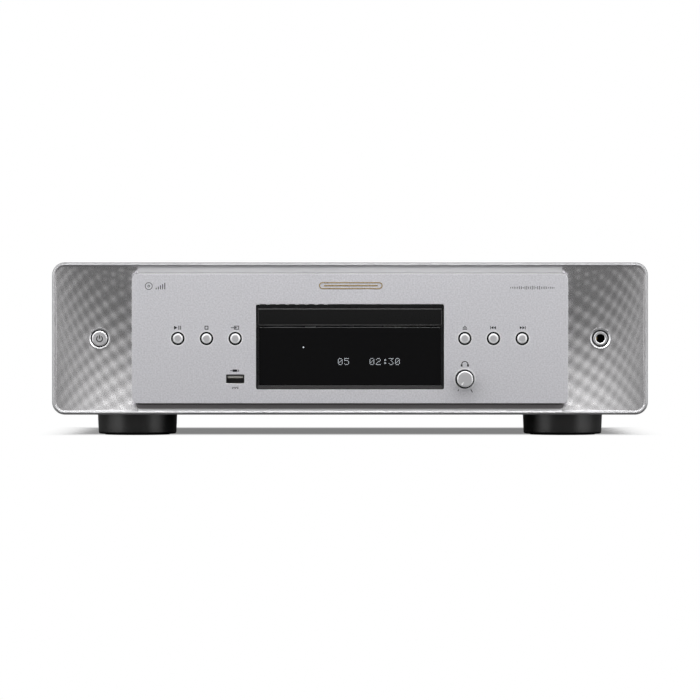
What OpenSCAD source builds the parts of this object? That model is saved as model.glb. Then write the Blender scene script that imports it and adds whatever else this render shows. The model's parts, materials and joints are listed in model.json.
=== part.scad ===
// Full-width hi-fi compact disc player, built as an assembly of separate pieces.
// Millimetres. +X is to the right of someone facing the front panel, +Y runs from the front to the back,
// and +Z is up. The origin is the middle of the footprint, on the surface that the feet stand on.

/* [Case] */
// Width of the front panel
overall_w = 442; // [430:1:450]
// Height from the surface to the top of the front panel
overall_h = 129; // [127:1:140]
// Depth from the face of the level knob to the ends of the output sockets
overall_d = 379; // [370:1:400]
// Height of the front panel alone
panel_h = 113; // [110:1:114]
// Corner radius of the front panel
panel_r = 9.5; // [6:0.5:12]
// Diameter of a foot
foot_d = 60; // [50:1:64]

/* [Centre plate] */
// Width of the raised metal plate
plate_w = 323; // [316:1:328]
// Height of the raised metal plate
plate_h = 96; // [92:1:98]
// Thickness of the raised metal plate
plate_t = 5; // [4:0.5:5]
// How deep the wings are dished beside the plate
dish_depth = 8; // [6:0.5:8]

/* [Controls] */
// Diameter of a transport button
button_d = 7.4; // [6:0.2:8]
// Pitch of the transport buttons in a row
button_pitch = 21.25; // [18:0.25:22]
// Travel of every push button
button_travel = 0.8; // [0.5:0.1:0.9]
// Diameter of the headphone level knob
knob_d = 11.9; // [10:0.1:12.5]
// How far the knob stands out of the plate
knob_proud = 9.5; // [6:0.5:12]

/* [Disc loader] */
// Diameter of the recess that a full-size disc lies in
well_d = 122; // [121.4:0.2:122.4]
// How far the tray slides out
tray_travel = 135; // [120:1:136]
// Width of the tray front
door_w = 136.8; // [134:0.2:137]
// Height of the tray front
door_h = 12.8; // [12:0.2:13]

/* [Hidden] */
$fn = 64;

// Levels of the case
top_z = overall_h;
panel_z0 = top_z - panel_h;
mid_z = panel_z0 + panel_h / 2;
low_z = mid_z - 30;
pan_z = panel_z0 + 1.5;
sheet = 1.2;
pan_top = pan_z + sheet;
cover_top = top_z - 1;

// Depths of the case, from front to back
plate_y = -overall_d / 2 + knob_proud;
seat_y = plate_y + plate_t;
rim_y = seat_y - 1.5;
dish_y = seat_y + dish_depth;
frame_back = plate_y + 25;
wall = 2.5;
board_y = seat_y + 11.5;
board_t = 1.6;
subpanel_y = frame_back;
pan_front = subpanel_y + sheet;
socket_proud = 9;
rear_y = overall_d / 2 - socket_proud;
rear_in = rear_y - sheet;

// Half widths of the case
pan_x = overall_w / 2 - 4.5;
cover_t = 1;
cover_x = pan_x + 0.3 + cover_t;

// Wings, each with a dished panel that lies inside the rim and runs in under the plate
wing_x = 186;
wing_out = overall_w / 2 - 2;
wing_in = plate_w / 2 - 4;
wing_half_h = panel_h / 2 - 2;
rim_wall = 4;
ring_r = 7.9;
sleeve_r = 6.9;
sleeve_l = 5.2;
ring_y = seat_y + 5.8;
ring_bore = 6.35;
ring_flange = 1;
power_stem = ring_y + sleeve_l + 2.6;
power_board_y = ring_y + sleeve_l + 7;

// Window in the centre plate, with the tray front above and the display below
window_w = 139.4;
window_z0 = panel_z0 + 18.7;
window_z1 = window_z0 + 63.2;
window_mid = (window_z0 + window_z1) / 2;
bezel_gap = 0.2;
slot_x = door_w / 2 + 0.3;
door_z1 = window_z1 - 3;
door_z0 = door_z1 - door_h;
slot_z0 = door_z0 - 0.6;
slot_z1 = door_z1 + 0.5;
lens_z0 = window_z0 + 3.2;
lens_z1 = door_z0 - 1.1;
lens_x = window_w / 2 - 2.5;
door_y = plate_y + 2.2;
door_t = 4;

// Buttons, by node name and place in the row
BUTTONS = [["button_play", -3], ["button_stop", -2], ["button_input", -1],
           ["button_eject", 1], ["button_previous", 2], ["button_next", 3]];
row_x0 = 85 - button_pitch;
hole_gap = 1.1;
frame_gap = 0.4;
button_r = button_d / 2;
stem_end = board_y - 5.1;
flange_y = seat_y + wall + 0.1;

// Loader, whose disc centre is the spindle
disc_y = door_y + door_t + 68.5;
tray_x = 65;
tray_y0 = door_y + door_t;
tray_y1 = tray_y0 + 185;
rack_z0 = door_z0 + 0.3;
tray_z0 = rack_z0 + 2.2;
tray_floor = tray_z0 + 2.7;
tray_top = tray_floor + 2.7;
slot_half = 17.5;
loader_x = 72;
loader_y0 = pan_front + 4;
loader_y1 = loader_y0 + 185;
loader_z0 = 58;
gear_plate_z = rack_z0 - 4.4;
turntable_z = tray_floor + 0.7;
puck_z = turntable_z + 2.4;

// Gear train of the tray: a rack of module 1, a 20-tooth wheel and a 14-tooth pinion
gear_m = 1;
wheel_teeth = 20;
pinion_teeth = 14;
rack_x = 60;
wheel_x = rack_x - gear_m * wheel_teeth / 2;
pulley_x = wheel_x - gear_m * (wheel_teeth + pinion_teeth) / 2;
gear_y = loader_y0 + 11;
pulley_r = 10.5;
motor_pulley_r = 3.6;
motor_x = pulley_x - 38;
pulley_z = gear_plate_z + 0.4;
gear_z = pulley_z + 2.8;
gear_h = 3;
backlash = 0.14;
addendum = 0.9;
dedendum = 1.2;
pressure = 20;

// Traverse deck, with its hinge at the back
deck_z = turntable_z - 14;
deck_t = 1.5;
hinge_y = disc_y + 92;
hinge_z = deck_z - 2;
rod_x = 30;
rod_z = deck_z + 4.6;
rod_r = 1.5;
lens_y = disc_y + 23;
sled_m = 0.5;
sled_teeth = 16;
sled_rack_x = 38;
sled_gear_x = sled_rack_x + sled_m * sled_teeth / 2;
sled_gear_y = disc_y + 46;

// Rear sockets, by distance from the middle
RCA_X = [182, 164, 128, 70, 52];
optical_x = 106;
rca_z = 47;
rca_r = 4.15;
inlet_x = -176;
inlet_z = 62;

// ---------- helpers ----------

// The corner points of a rounded rectangle centred on (x, y)
function round_rect(w, h, r, x = 0, y = 0, n = 8) = [
    for (q = [0:3]) let (sx = q == 0 || q == 3 ? 1 : -1, sy = q < 2 ? 1 : -1)
        for (i = [0:n]) let (a = 90 * (q + i / n))
            [x + sx * (w / 2 - r) + r * cos(a), y + sy * (h / 2 - r) + r * sin(a)]
];

// One stadium-shaped slot along X
function stadium(l, w, x, y, n = 8) = [
    for (s = [0, 1]) for (i = [0:n]) let (a = -90 + 180 * s + 180 * i / n)
        [x + (s == 0 ? 1 : -1) * (l - w) / 2 + w / 2 * cos(a), y + w / 2 * sin(a)]
];

function involute(angle) = tan(angle) * 180 / PI - angle;
function polar(r, a) = [r * cos(a), r * sin(a)];

// A spur gear's outline, with a tooth centred on the +X axis
function gear_outline(m, teeth, steps = 5) =
    let (rp = m * teeth / 2, rb = rp * cos(pressure), ro = rp + addendum * m, rr = rp - dedendum * m,
         r0 = max(rb, rr), half = 90 / teeth - backlash * m / 2 / rp * 180 / PI + involute(pressure),
         radii = [for (i = [0:steps]) r0 + (ro - r0) * i / steps],
         edge = [for (r = radii) half - involute(acos(min(1, rb / r)))])
    [for (t = [0:teeth - 1]) let (c = 360 * t / teeth) each concat(
        rr < rb ? [polar(rr, c - half)] : [],
        [for (i = [0:steps]) polar(radii[i], c - edge[i])],
        [for (i = [steps:-1:0]) polar(radii[i], c + edge[i])],
        rr < rb ? [polar(rr, c + half)] : [])];

// A rack's outline along Y with gaps at y0 plus whole pitches; side 1 points the teeth to +X, -1 to -X
function rack_outline(m, x, y0, n, side, back) =
    let (p = PI * m, hw = p / 4 - backlash * m / 2, tip = hw - addendum * m * tan(pressure),
         foot = hw + dedendum * m * tan(pressure), xt = x + side * addendum * m, xr = x - side * dedendum * m)
    concat([[x - side * back, y0]], [[xr, y0]],
        [for (i = [0:n - 1]) let (c = y0 + p * (i + 0.5))
            each [[xr, c - foot], [xt, c - tip], [xt, c + tip], [xr, c + foot]]],
        [[xr, y0 + p * n], [x - side * back, y0 + p * n]]);

module slab(x0, x1, y0, y1, z0, z1) {
    translate([x0, y0, z0]) cube([x1 - x0, y1 - y0, z1 - z0]);
}

// Extrudes an outline drawn in X and Z from y0 to y1
module along_y(y0, y1) {
    translate([0, y1, 0]) rotate([90, 0, 0]) linear_extrude(y1 - y0) children();
}

module rod_y(x, z, r, y0, y1) {
    translate([x, y1, z]) rotate([90, 0, 0]) cylinder(r = r, h = y1 - y0);
}

module rod_z(x, y, r, z0, z1) {
    translate([x, y, z0]) cylinder(r = r, h = z1 - z0);
}

module rod_x(y, z, r, x0, x1) {
    translate([x0, y, z]) rotate([0, 90, 0]) cylinder(r = r, h = x1 - x0);
}

module both_sides() {
    children();
    mirror([1, 0, 0]) children();
}

// A sheet-metal screw with its head outward along local +Z, the head's underside at z = 0
module screw(head_r, head_h, shank_r, shank_h) {
    difference() {
        union() {
            cylinder(r = head_r, h = head_h);
            translate([0, 0, -shank_h]) cylinder(r = shank_r, h = shank_h + 0.01);
        }
        for (a = [0, 90]) rotate(a)
            translate([-head_r * 0.55, -0.35, head_h - 0.9]) cube([head_r * 1.1, 0.7, 1]);
    }
}

// ---------- case ----------

COVER_SIDE_Y = [-95, 30, 140];
COVER_REAR_X = [-190, -65, 65, 190];
cover_side_z = pan_z + 9;
cover_rear_z = cover_top - 7;
FOOT_AT = [[-160.5, -118], [160.5, -118], [-172, 128], [172, 128]];
BOARD_POSTS = [[-60, 60], [75, 52], [196, 60], [-60, 150], [30, 162], [88, 150],
               [-200, 50], [-100, 50], [-200, 150], [-100, 162]];

module bottom_pan() {
    color("silver") difference() {
        union() {
            slab(-pan_x, pan_x, pan_front, rear_in, pan_z, pan_top);
            for (s = [-1, 1])
                slab(min(s * pan_x, s * (pan_x - sheet)), max(s * pan_x, s * (pan_x - sheet)),
                     pan_front, rear_in, pan_z, pan_z + 16);
            for (p = BOARD_POSTS) rod_z(p[0], p[1], 3.5, pan_z + 0.2, pan_z + 11);
        }
        for (p = BOARD_POSTS) rod_z(p[0], p[1], 1.3, pan_z + 4, pan_z + 12);
        for (p = FOOT_AT) rod_z(p[0], p[1], 2.2, pan_z - 1, pan_z + 3);
        rod_z(-148, -62, 3.1, pan_z - 1, pan_z + 3);
        for (s = [-1, 1], y = COVER_SIDE_Y) rod_x(y, cover_side_z, 1.5, s * pan_x - 3, s * pan_x + 3);
        for (s = [-1, 1], y = [-120, 0]) rod_z(s * 82, y, 1.5, pan_z - 1, pan_z + 3);
        for (i = [0:9]) translate([0, 0, pan_z - 1])
            linear_extrude(4) polygon(stadium(70, 3, 0, 60 + 9 * i));
    }
}

module rear_panel() {
    color("dimgray") difference() {
        along_y(rear_in, rear_y) polygon(round_rect(2 * pan_x, cover_top - cover_t - 0.4 - pan_z, 1,
                                                    0, (cover_top - cover_t - 0.4 + pan_z) / 2, 2));
        for (x = RCA_X) rod_y(x, rca_z, 4.4, rear_in - 1, rear_y + 1);
        slab(optical_x - 5.2, optical_x + 5.2, rear_in - 1, rear_y + 1, rca_z - 5.2, rca_z + 5.2);
        slab(inlet_x - 13.8, inlet_x + 13.8, rear_in - 1, rear_y + 1, inlet_z - 10.2, inlet_z + 10.2);
        for (x = COVER_REAR_X) rod_y(x, cover_rear_z, 1.5, rear_in - 1, rear_y + 1);
        for (s = [-1, 1], x = [40, 150]) rod_y(s * x, pan_z + 8, 1.5, rear_in - 1, rear_y + 1);
        for (i = [0:13]) along_y(rear_in - 1, rear_y + 1)
            polygon(round_rect(3, 20, 1.45, -100 + 8 * i, 108, 4));
    }
}

module top_cover() {
    rear_lip = 14;
    bend = 2.5;
    low = pan_z + 1;
    color("silver") difference() {
        union() {
            intersection() {
                difference() {
                    along_y(frame_back, rear_y)
                        polygon(round_rect(2 * cover_x, 240, bend, 0, cover_top - 120, 6));
                    along_y(frame_back - 1, rear_y + 1)
                        polygon(round_rect(2 * (cover_x - cover_t), 240, bend - cover_t,
                                           0, cover_top - cover_t - 120, 6));
                }
                slab(-cover_x - 1, cover_x + 1, frame_back - 1, rear_y + 2, low, cover_top + 1);
            }
            intersection() {
                along_y(rear_y - 0.5, rear_y + cover_t)
                    polygon(round_rect(2 * cover_x, 240, bend, 0, cover_top - 120, 6));
                slab(-cover_x, cover_x, rear_y, rear_y + cover_t, cover_top - rear_lip, cover_top);
            }
        }
        for (s = [-1, 1], y = COVER_SIDE_Y) rod_x(y, cover_side_z, 1.7, s * cover_x - 3, s * cover_x + 3);
        for (x = COVER_REAR_X) rod_y(x, cover_rear_z, 1.7, rear_y - 1, rear_y + cover_t + 1);
        for (s = [-1, 1], i = [0:8]) translate([0, 0, cover_top - 3])
            linear_extrude(5) polygon(stadium(64, 3, s * 140, 70 + 9 * i));
    }
}

module front_subpanel() {
    color("silver") difference() {
        along_y(subpanel_y + 0.1, pan_front - 0.1)
            polygon(round_rect(2 * pan_x - 4, cover_top - pan_z - 6, 2, 0, (cover_top + pan_z) / 2, 2));
        slab(-80, 80, subpanel_y - 1, pan_front + 1, window_z0 + 26, slot_z1 + 6);
        for (s = [-1, 1]) rod_y(s * wing_x, mid_z, 11, subpanel_y - 1, pan_front + 1);

        for (s = [-1, 1], x = [95, 140]) slab(min(s * x, s * (x + 30)), max(s * x, s * (x + 30)),
            subpanel_y - 1, pan_front + 1, mid_z - 12, mid_z + 12);
    }
}

module feet() {
    foot_r = foot_d / 2;
    foot_top = pan_z;
    for (p = FOOT_AT) translate([p[0], p[1], 0]) color("black") rotate_extrude() polygon(concat(
        [[2.2, 6], [5.5, 6], [5.5, 2.2], [8, 2.2], [8, 3.2], [25, 3.2], [25, 0.6]],
        [for (a = [-90:15:0]) [foot_r - 2.2 + 1.6 * cos(a), 2.2 + 1.6 * sin(a)]],
        [for (a = [0:30:90]) [foot_r - 0.6 + 0.6 * cos(a), foot_top - 0.6 + 0.6 * sin(a)]],
        [[2.2, foot_top]]));
}

module foot_pads() {
    for (p = FOOT_AT) translate([p[0], p[1], 0]) color("dimgray") difference() {
        cylinder(r = 24.5, h = 3.2);
        translate([0, 0, -1]) cylinder(r = 8.5, h = 6);
    }
}

module foot_screws() {
    for (p = FOOT_AT) translate([p[0], p[1], 6]) color("gray") mirror([0, 0, 1])
        screw(4.6, 2.6, 2.1, 14);
}

module machine_screws() {
    head = 2.9;
    color("silver") {
        for (s = [-1, 1], y = COVER_SIDE_Y) translate([s * cover_x, y, cover_side_z])
            rotate([0, s * 90, 0]) screw(head, 1.6, 1.4, 6);
        for (x = COVER_REAR_X) translate([x, rear_y + cover_t, cover_rear_z])
            rotate([-90, 0, 0]) screw(head, 1.6, 1.4, 6);
        for (s = [-1, 1], x = [40, 150]) translate([s * x, rear_y, pan_z + 8])
            rotate([-90, 0, 0]) screw(head, 1.6, 1.4, 6);
        for (s = [-1, 1], y = [-120, 0]) translate([s * 82, y, pan_z])
            rotate([180, 0, 0]) screw(head, 1.4, 1.4, 5);
    }
}

// ---------- front panel ----------

// A slab with its front edge rounded, from outlines that draw in towards the front
module rounded_front(w, h, r, fillet, front, back) {
    hull() {
        for (a = [0:15:90]) let (inset = fillet * (1 - sin(a)), y = front + fillet * (1 - cos(a)))
            along_y(y, y + 0.01)
                polygon(round_rect(w - 2 * inset, h - 2 * inset, r - inset * 0.7, 0, mid_z));
        along_y(back - 0.01, back) polygon(round_rect(w, h, r, 0, mid_z));
    }
}

// Depth of a wing panel's front behind the bed: a bowl that deepens from the outer edge to the plate
function bowl(x, z) = let (s = (wing_out - x) / (wing_out - wing_in), u = (z - mid_z) / wing_half_h)
    dish_depth * (1 - pow(1 - s, 2)) * (1 - u * u);

// The bowl as a sheet of the wall's thickness, on a grid of nx by nz cells
module bowl_sheet(nx, nz) {
    cols = nz + 1;
    half = (nx + 1) * cols;
    points = [for (side = [0, 1], i = [0:nx], j = [0:nz])
        let (x = wing_in + (wing_out - wing_in) * i / nx, z = mid_z + wing_half_h * (2 * j / nz - 1))
            [x, seat_y + bowl(x, z) + side * wall, z]];
    function quad(a, b, c, d) = [[a, b, c], [a, c, d]];
    front = [for (i = [0:nx - 1], j = [0:nz - 1]) let (k = i * cols + j)
        each quad(k, k + 1, k + cols + 1, k + cols)];
    back = [for (i = [0:nx - 1], j = [0:nz - 1]) let (k = half + i * cols + j)
        each quad(k, k + cols, k + cols + 1, k + 1)];
    ends = [for (i = [0:nx - 1], j = [0, nz]) let (k = i * cols + j)
        each j == 0 ? quad(k, k + cols, k + cols + half, k + half)
                    : quad(k, k + half, k + cols + half, k + cols)];
    sides = [for (j = [0:nz - 1], i = [0, nx]) let (k = i * cols + j)
        each i == 0 ? quad(k, k + half, k + 1 + half, k + 1)
                    : quad(k, k + 1, k + 1 + half, k + half)];
    polyhedron(points, concat(front, back, ends, sides));
}

module wing_panels() {
    fit = 0.1;
    ledge_y = seat_y + wall - fit;
    color("gray") both_sides() difference() {
        union() {
            intersection() {
                bowl_sheet(8, 14);
                union() {
                    along_y(seat_y - 1, ledge_y) polygon(round_rect(2 * (wing_out - fit),
                        2 * (wing_half_h - fit), panel_r - 2, 0, mid_z));
                    along_y(seat_y - 1, dish_y + 4) polygon(round_rect(overall_w - 2 * rim_wall - 1,
                        panel_h - 2 * rim_wall - 1, panel_r - rim_wall, 0, mid_z));
                }
            }
            rod_y(wing_x, mid_z, ring_r, ring_y, dish_y);
            rod_y(wing_x, mid_z, ring_r + 1.5, dish_y + 0.5, ring_y + sleeve_l);
        }
        rod_y(wing_x, mid_z, ring_r + fit, rim_y, ring_y);
        rod_y(wing_x, mid_z, sleeve_r + fit, rim_y, frame_back);
    }
}

module front_frame() {
    color("silver") difference() {
        union() {
            difference() {
                rounded_front(overall_w, panel_h, panel_r, 2.2, rim_y, frame_back);
                along_y(rim_y - 1, seat_y)
                    polygon(round_rect(2 * wing_out, 2 * wing_half_h, panel_r - 2, 0, mid_z));
                along_y(seat_y + wall, frame_back + 1)
                    polygon(round_rect(overall_w - 2 * rim_wall, panel_h - 2 * rim_wall, panel_r - rim_wall,
                                       0, mid_z));
                for (s = [-1, 1]) intersection() {
                    along_y(seat_y - 1, seat_y + wall + 0.1)
                        polygon(round_rect(2 * wing_out, 2 * wing_half_h, panel_r - 2, 0, mid_z));
                    translate([s * (wing_in + 50), seat_y, mid_z]) cube([100, 20, 200], center = true);
                }
            }
            // the walls that close the bed's two ends
            both_sides() slab(wing_in - wall, wing_in - 0.1, seat_y + 0.1, dish_y + 4,
                              panel_z0 + rim_wall - 0.1, top_z - rim_wall + 0.1);
        }
        // the window, the buttons, the knob and the USB socket reach through
        slab(-window_w / 2, window_w / 2, rim_y, frame_back, window_z0, window_z1);
        for (b = BUTTONS) rod_y(button_x(b[1]), mid_z, button_r + frame_gap, rim_y, dish_y + 6);
        rod_y(85, low_z, 5.2, rim_y, dish_y + 6);
        slab(-85 - 6.8, -85 + 6.8, rim_y, dish_y + 6, low_z - 3.3, low_z + 3.3);
    }
}

function button_x(place) = sign(place) * (row_x0 + abs(place) * button_pitch);

module centre_plate() {
    color("lightgray") difference() {
        along_y(plate_y, seat_y) polygon(round_rect(plate_w, plate_h, 4.5, 0, mid_z));
        along_y(plate_y - 1, seat_y + 1)
            polygon(round_rect(window_w, window_z1 - window_z0, 1.4, 0, window_mid, 4));
        for (b = BUTTONS) rod_y(button_x(b[1]), mid_z, button_r + hole_gap, plate_y - 1, seat_y + 1);
        rod_y(85, low_z, knob_d / 2 + 0.9, plate_y - 1, seat_y + 1);
        along_y(plate_y - 1, seat_y + 1) polygon(round_rect(13.6, 6.6, 0.6, -85, low_z, 3));
    }
}

module window_bezel() {
    outer_w = window_w - 2 * bezel_gap;
    outer_h = window_z1 - window_z0 - 2 * bezel_gap;
    back = seat_y + 8;
    color("black") difference() {
        along_y(plate_y + 0.8, back) polygon(round_rect(outer_w, outer_h, 1.2, 0, window_mid, 4));
        slab(-slot_x, slot_x, plate_y, back + 1, slot_z0, slot_z1);
        slab(-lens_x - 0.1, lens_x + 0.1, plate_y, back + 1, lens_z0 - 0.1, slot_z0 + 0.1);
    }
}

module display_lens() {
    color([0.05, 0.05, 0.06]) slab(-lens_x, lens_x, door_y + 0.8, door_y + 3.2, lens_z0, lens_z1);
}

module display_module() {
    color("darkslategray") slab(-50, 50, board_y - 7, board_y - 1.6, window_z0 + 8, window_z0 + 40);
    color("darkgreen") slab(-54, 54, board_y - 1.5, board_y - 0.1, window_z0 + 5, window_z0 + 42);
}

module front_board() {
    color("darkgreen") difference() {
        along_y(board_y, board_y + board_t)
            polygon(round_rect(plate_w - 26, plate_h - 26, 2, 0, mid_z, 3));
        slab(-75, 75, board_y - 1, board_y + 3, lens_z1 - 1, mid_z + plate_h);
        slab(-85 - 6.8, -85 + 6.8, board_y - 1, board_y + 3, low_z - 3.3, low_z + 3.3);
        rod_y(85, low_z, 3.6, board_y - 1, board_y + 3);
    }
}

module button_switches() {
    for (b = BUTTONS) color("dimgray") {
        slab(button_x(b[1]) - 3, button_x(b[1]) + 3, board_y - 3.6, board_y - 0.05, mid_z - 3, mid_z + 3);
        rod_y(button_x(b[1]), mid_z, 1.7, board_y - 4.2, board_y - 3.5);
    }
}

// A trim ring set in a wing, with a funnel-shaped flange in front of a sleeve
module wing_ring() {
    translate([0, ring_y, 0]) rotate([90, 0, 0]) rotate_extrude() polygon([
        [ring_bore, -sleeve_l], [sleeve_r, -sleeve_l], [sleeve_r, 0], [ring_r, 0], [ring_r, ring_flange - 0.1],
        [ring_r - 0.1, ring_flange], [ring_r - 0.4, ring_flange], [ring_bore, 0.2]]);
}

module power_ring() {
    color("silver") translate([-wing_x, 0, mid_z]) wing_ring();
}

module jack_ring() {
    color("silver") translate([wing_x, 0, mid_z]) wing_ring();
}

module phones_jack() {
    jack_front = ring_y - 0.6;
    jack_r = 5.4;
    block_front = ring_y + sleeve_l + 0.2;
    block_back = block_front + 30;
    translate([wing_x, 0, mid_z]) difference() {
        union() {
            color("silver") rod_y(0, 0, jack_r, jack_front, block_front + 0.1);
            color("black") slab(-7, 7, block_front, block_back, -7, 7);
        }
        rod_y(0, 0, 3.25, jack_front - 1, block_back + 1);
        translate([0, jack_front, 0]) rotate([-90, 0, 0])
            cylinder(h = 1.1, r1 = jack_r - 0.35, r2 = 3.25);
    }
}

module power_switch() {
    color("darkgreen") slab(-wing_x - 18, -wing_x + 18, power_board_y, power_board_y + board_t,
                            mid_z - 12, mid_z + 12);
    color("dimgray") slab(-wing_x - 3, -wing_x + 3, power_stem + 0.9, power_board_y, mid_z - 3, mid_z + 3);
}

module usb_shell() {
    color("gray") difference() {
        along_y(plate_y + 0.6, plate_y + 16) polygon(round_rect(13.2, 5.8, 0.5, -85, low_z, 3));
        along_y(plate_y, plate_y + 15.4) polygon(round_rect(12.5, 5.1, 0.3, -85, low_z, 3));
    }
}

module usb_tongue() {
    color("black") slab(-85 - 5.6, -85 + 5.6, plate_y + 1, plate_y + 15.4, low_z + 0.75, low_z + 2.45);
}

module level_pot() {
    color("slategray") difference() {
        union() {
            slab(85 - 6, 85 + 6, board_y + board_t, board_y + board_t + 6.5, low_z - 6, low_z + 6);
            rod_y(85, low_z, 3.4, board_y - 5, board_y + board_t + 1);
        }
        rod_y(85, low_z, 3.05, board_y - 6, board_y + board_t + 5.5);
    }
}

module level_shaft() {
    color("silver") rod_y(85, low_z, 3, seat_y + 1, board_y + board_t + 5);
}

module level_knob() {
    face_y = plate_y - knob_proud;
    color("lightgray") difference() {
        translate([85, 0, low_z]) difference() {
            translate([0, seat_y - 0.6, 0]) rotate([90, 0, 0]) rotate_extrude() polygon([
                [0, 0], [knob_d / 2, 0], [knob_d / 2, seat_y - 0.6 - face_y - 0.8],
                [knob_d / 2 - 1.4, seat_y - 0.6 - face_y], [0, seat_y - 0.6 - face_y]]);
            rotate([0, 30, 0]) slab(-0.35, 0.35, face_y - 1, face_y + 0.4, -5, -2.4);
        }
    }
    color("lightgray") rod_y(85, low_z, 4.2, seat_y - 0.7, seat_y + 1);
}

// A push button: a bevelled cap, a retaining flange and a stem
module push_button(r, bevel, x, front, flange, stem) {
    color("lightgray") translate([x, stem, mid_z]) rotate([90, 0, 0]) rotate_extrude() polygon([
        [0, 0], [1.5, 0], [1.5, stem - flange - 1.2], [r + 1.1, stem - flange - 1.2],
        [r + 1.1, stem - flange], [r, stem - flange], [r, stem - front - bevel * 0.6],
        [r - bevel, stem - front], [0, stem - front]]);
}

module power_button() {
    push_button(5.75, 1.05, -wing_x, ring_y - ring_flange - 0.3, ring_y + sleeve_l + 0.2, power_stem);
}

// ---------- boards and power ----------

board_z = pan_z + 11;

module main_board() {
    color("darkgreen") slab(-70, 206, 42, rear_in - 3, board_z, board_z + board_t);
    color("black") {
        slab(60, 84, 80, 104, board_z + board_t, board_z + board_t + 2.5);
        slab(110, 122, 90, 110, board_z + board_t, board_z + board_t + 2.5);
        slab(150, 162, 90, 110, board_z + board_t, board_z + board_t + 2.5);
    }
}

module supply_board() {
    color("darkgreen") slab(-206, -88, 42, rear_in - 16, board_z, board_z + board_t);
    color("gray") slab(-118, -112, 60, 120, board_z + board_t, board_z + 32);
}

module supply_capacitors() {
    color("darkslategray") for (x = [-190, -166, -142], y = [70, 96])
        rod_z(x, y, 9, board_z + board_t, board_z + board_t + 32);
}

module transformer() {
    color("goldenrod") translate([-148, -62, pan_top]) rotate_extrude() polygon(concat(
        [for (a = [-90:15:0]) [36 + 5 * cos(a), 7 + 5 * sin(a)]],
        [for (a = [0:15:90]) [36 + 5 * cos(a), 33 + 5 * sin(a)]],
        [for (a = [90:15:180]) [18 + 5 * cos(a), 33 + 5 * sin(a)]],
        [for (a = [180:15:270]) [18 + 5 * cos(a), 7 + 5 * sin(a)]]));
    color("dimgray") translate([-148, -62, pan_top]) difference() {
        cylinder(r = 38, h = 2);
        translate([0, 0, -1]) cylinder(r = 3.2, h = 4);
    }
}

module transformer_bolt() {
    color("silver") translate([-148, -62, 0]) {
        rod_z(0, 0, 3, pan_z - 2, pan_top + 38);
        rod_z(0, 0, 24, pan_top + 38, pan_top + 40);
        rod_z(0, 0, 5, pan_top + 39, pan_top + 44);
        translate([0, 0, pan_z - 3.2]) cylinder(r = 5.6, h = 3.2, $fn = 6);
    }
}

// ---------- rear sockets ----------

module ac_inlet() {
    color("black") difference() {
        union() {
            along_y(rear_y, rear_y + 3) polygon(round_rect(32, 25, 2.5, inlet_x, inlet_z, 4));
            slab(inlet_x - 13.5, inlet_x + 13.5, rear_in - 14, rear_y + 1, inlet_z - 10, inlet_z + 10);
        }
        slab(inlet_x - 12.1, inlet_x + 12.1, rear_y - 13, rear_y + 4, inlet_z - 8.2, inlet_z + 8.2);
    }
}

module inlet_pins() {
    color("silver") for (s = [-1, 1]) let (x = inlet_x + 7 * s)
        slab(x - 1, x + 1, rear_y - 13, rear_y + 1, inlet_z - 3.5, inlet_z + 0.5);
}

module rca_block() {
    for (x = RCA_X) {
        color("black") slab(x - 6.5, x + 6.5, rear_in - 12, rear_in - 0.1, board_z + board_t, rca_z + 7);
        color("white") difference() {
            rod_y(x, rca_z, 3.2, rear_y - 0.8, rear_y + socket_proud - 1);
            rod_y(x, rca_z, 1.6, rear_y - 0.2, rear_y + socket_proud);
        }
    }
}

module rca_shells() {
    color("gold") for (x = RCA_X) difference() {
        union() {
            rod_y(x, rca_z, rca_r, rear_in, rear_y + socket_proud);
            rod_y(x, rca_z, 5.6, rear_y, rear_y + 1);
        }
        rod_y(x, rca_z, 3.35, rear_in - 1, rear_y + socket_proud + 1);
    }
}

optical_cell = 4.2;
optical_hinge_z = rca_z + optical_cell - 0.6;

module optical_socket() {
    color("black") translate([optical_x, 0, rca_z]) difference() {
        slab(-5, 5, rear_in - 12, rear_y + 1.5, -5, 5);
        slab(-optical_cell, optical_cell, rear_y - 10, rear_y + 2, -optical_cell, optical_cell);
        rod_x(rear_y + 0.5, optical_cell - 0.6, 0.4, -optical_cell - 0.5, optical_cell + 0.5);
    }
}

module optical_shutter() {
    color("dimgray") {
        slab(optical_x - 3.9, optical_x + 3.9, rear_y + 0.1, rear_y + 0.9, rca_z - 4, optical_hinge_z + 0.1);
        rod_x(rear_y + 0.5, optical_hinge_z, 0.35, optical_x - 4.6, optical_x + 4.6);
    }
}

// ---------- disc loader ----------

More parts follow.
